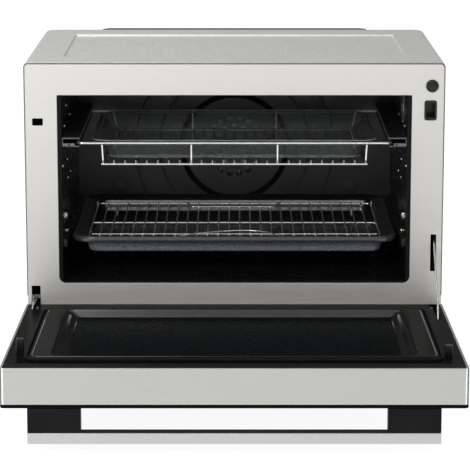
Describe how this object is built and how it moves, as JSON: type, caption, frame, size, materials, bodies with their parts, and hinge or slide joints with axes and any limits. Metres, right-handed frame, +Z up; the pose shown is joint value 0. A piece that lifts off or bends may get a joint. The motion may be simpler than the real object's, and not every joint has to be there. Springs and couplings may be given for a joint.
{
  "type": "combi steam oven",
  "caption": "Countertop combi steam oven with a drop-down door, bar handle, fan cavity, wire basket with glass tray, enamel tray with grid, drip tray and water tank.",
  "frame": {"origin": "middle of the base, on the surface that the oven stands on, with the open door counted in the box", "axes": "+Z up, +Y towards the back of the oven, the door opens towards -Y, +X to the right as seen from the front"},
  "size_m": [0.5, 0.6994, 0.382],
  "materials": {
    "brushed_steel": "brushed",
    "casing_steel": "satin",
    "black_enamel": "glossy enamel",
    "black_glass": "polished",
    "clear_glass": "polished",
    "black_plastic": "fine texture",
    "rubber": "matte",
    "chromed_wire": "polished",
    "zinc_steel": "galvanised",
    "board": "satin",
    "clear_plastic": "translucent",
    "brass": "satin"
  },
  "bodies": {
    "cabinet": {"casing_wrap": "casing_steel", "front_frame": "brushed_steel", "rear_panel": "zinc_steel", "cord_inlet": "black_plastic", "rear_duct_cover": "black_plastic", "base_pan": "zinc_steel", "foot_front_left": "rubber", "foot_rear_left": "rubber", "foot_front_right": "rubber", "foot_rear_right": "rubber", "bay_shelf": "black_plastic", "cavity_rim": "black_enamel", "cavity_wall_left": "black_enamel", "cavity_wall_right": "black_enamel", "cavity_floor": "black_enamel", "cavity_ceiling": "black_enamel", "cavity_back": "black_enamel", "fan_cover": "black_enamel", "upper_rail_left": "zinc_steel", "upper_rail_right": "zinc_steel", "lamp_lens": "clear_glass", "fan_motor": "zinc_steel", "ring_heater": "zinc_steel", "grill_heater": "zinc_steel", "steam_boiler": "zinc_steel", "steam_pipe": "brass", "water_pump": "black_plastic", "control_board": "board", "latch_socket": "black_plastic", "door_switch": "black_plastic", "hinge_bracket_left": "zinc_steel", "hinge_bracket_right": "zinc_steel"},
    "door": {"door_frame": "brushed_steel", "door_inner_panel": "black_enamel", "door_gasket": "rubber", "door_inner_glass": "black_glass", "door_outer_panel": "black_glass", "display_module": "black_plastic", "handle_standoff_left": "black_plastic", "handle_standoff_right": "black_plastic", "handle_bar": "brushed_steel", "latch_hook": "black_plastic", "switch_post": "black_plastic", "hinge_strap_left": "chromed_wire", "hinge_pin_left": "zinc_steel", "hinge_pin_right": "zinc_steel"},
    "link": {"support_link": "chromed_wire"},
    "basket": {"wire_basket": "chromed_wire"},
    "glass_tray": {"glass_tray": "clear_glass"},
    "tray": {"enamel_tray": "black_enamel"},
    "grid": {"wire_grid": "chromed_wire"},
    "drip_tray": {"drip_tray": "black_plastic"},
    "tank": {"water_tank": "clear_plastic", "tank_lid": "black_plastic"},
    "fan": {"convection_fan": "zinc_steel"},
    "plunger": {"door_plunger": "black_plastic"},
    "dial": {"control_dial": "brushed_steel"},
    "key_menu": {"key_menu": "black_plastic"},
    "key_stop": {"key_stop": "black_plastic"},
    "key_start": {"key_start": "black_plastic"}
  },
  "joints": [
    {"name": "door_hinge", "type": "hinge", "parent": "cabinet", "child": "door", "pos_m": [0, -0.03591, 0.0697], "axis": [-1, 0, 0], "range_deg": [0, 88.5]},
    {"name": "link_pivot", "type": "hinge", "parent": "door", "child": "link", "pos_m": [0.2395, -0.07831, 0.085], "axis": [-1, 0, 0], "range_deg": [-88.5, 0]},
    {"name": "basket_slide", "type": "slide", "parent": "cabinet", "child": "basket", "axis": [0, 1, 0], "range_m": [-0.2, 0]},
    {"name": "glass_tray_lift", "type": "slide", "parent": "basket", "child": "glass_tray", "axis": [0, 0, 1], "range_m": [0, 0.03]},
    {"name": "tray_slide", "type": "slide", "parent": "cabinet", "child": "tray", "axis": [0, 1, 0], "range_m": [-0.2, 0]},
    {"name": "grid_lift", "type": "slide", "parent": "tray", "child": "grid", "axis": [0, 0, 1], "range_m": [0, 0.03]},
    {"name": "drip_tray_slide", "type": "slide", "parent": "cabinet", "child": "drip_tray", "axis": [0, 1, 0], "range_m": [-0.12, 0]},
    {"name": "tank_slide", "type": "slide", "parent": "cabinet", "child": "tank", "axis": [0, 1, 0], "range_m": [-0.2, 0]},
    {"name": "fan_spin", "type": "hinge", "parent": "cabinet", "child": "fan", "pos_m": [0, 0.30969, 0.2308], "axis": [0, 1, 0], "continuous": true},
    {"name": "plunger_press", "type": "slide", "parent": "cabinet", "child": "plunger", "axis": [0, 1, 0], "range_m": [0, 0.003], "stiffness_N_per_m": 200},
    {"name": "dial_turn", "type": "hinge", "parent": "door", "child": "dial", "pos_m": [0.19, -0.07304, 0.04226], "axis": [0, 0.0262, 0.9997], "continuous": true},
    {"name": "menu_press", "type": "slide", "parent": "door", "child": "key_menu", "axis": [0, 0.0262, 0.9997], "range_m": [0, 0.0012], "stiffness_N_per_m": 150},
    {"name": "stop_press", "type": "slide", "parent": "door", "child": "key_stop", "axis": [0, 0.0262, 0.9997], "range_m": [0, 0.0012], "stiffness_N_per_m": 150},
    {"name": "start_press", "type": "slide", "parent": "door", "child": "key_start", "axis": [0, 0.0262, 0.9997], "range_m": [0, 0.0012], "stiffness_N_per_m": 150}
  ],
  "couplings": [
    {"joint": "link_pivot", "follows": "door_hinge", "ratio": -1}
  ]
}
